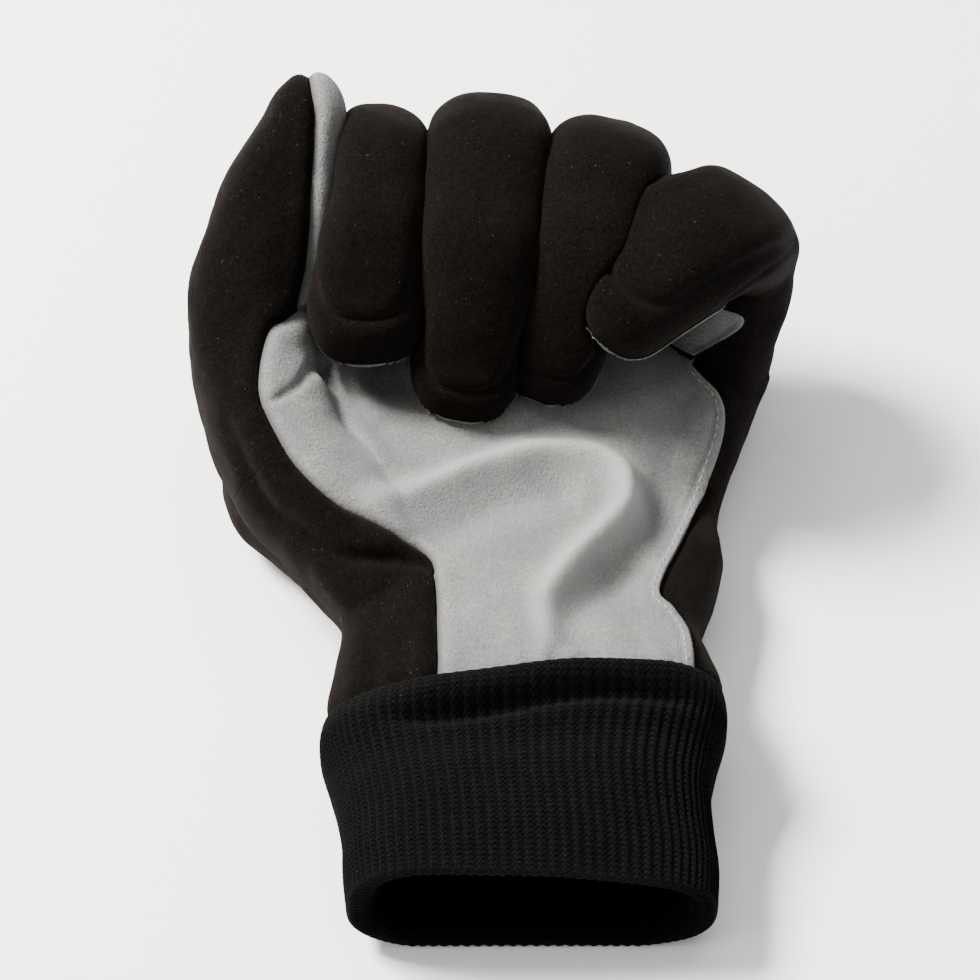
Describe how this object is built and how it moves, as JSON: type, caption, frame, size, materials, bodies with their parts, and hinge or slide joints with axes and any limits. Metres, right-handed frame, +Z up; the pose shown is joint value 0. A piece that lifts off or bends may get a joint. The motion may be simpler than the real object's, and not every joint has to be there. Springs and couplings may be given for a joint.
{
  "type": "cross-country ski glove",
  "caption": "Left-hand cross-country ski glove in black fleece with a grey suede palm and a ribbed knit cuff, lying on its back with the fingers curled over the palm.",
  "frame": {"origin": "middle of the whole glove's outline on the surface it lies on", "axes": "+Z up from the surface through the palm, +Y from the wrist opening to the knuckles, -X the thumb side"},
  "size_m": [0.1404, 0.1866, 0.0875],
  "materials": {
    "fleece": "brushed black fleece",
    "suede": "light grey synthetic suede",
    "knit": "black rib knit"
  },
  "bodies": {
    "root": {"back_panel": "fleece", "palm_panel": "suede", "thumb_panel": "fleece", "index_finger": "fleece", "middle_finger": "fleece", "ring_finger": "fleece", "little_finger": "fleece", "cuff": "knit"}
  },
  "joints": []
}
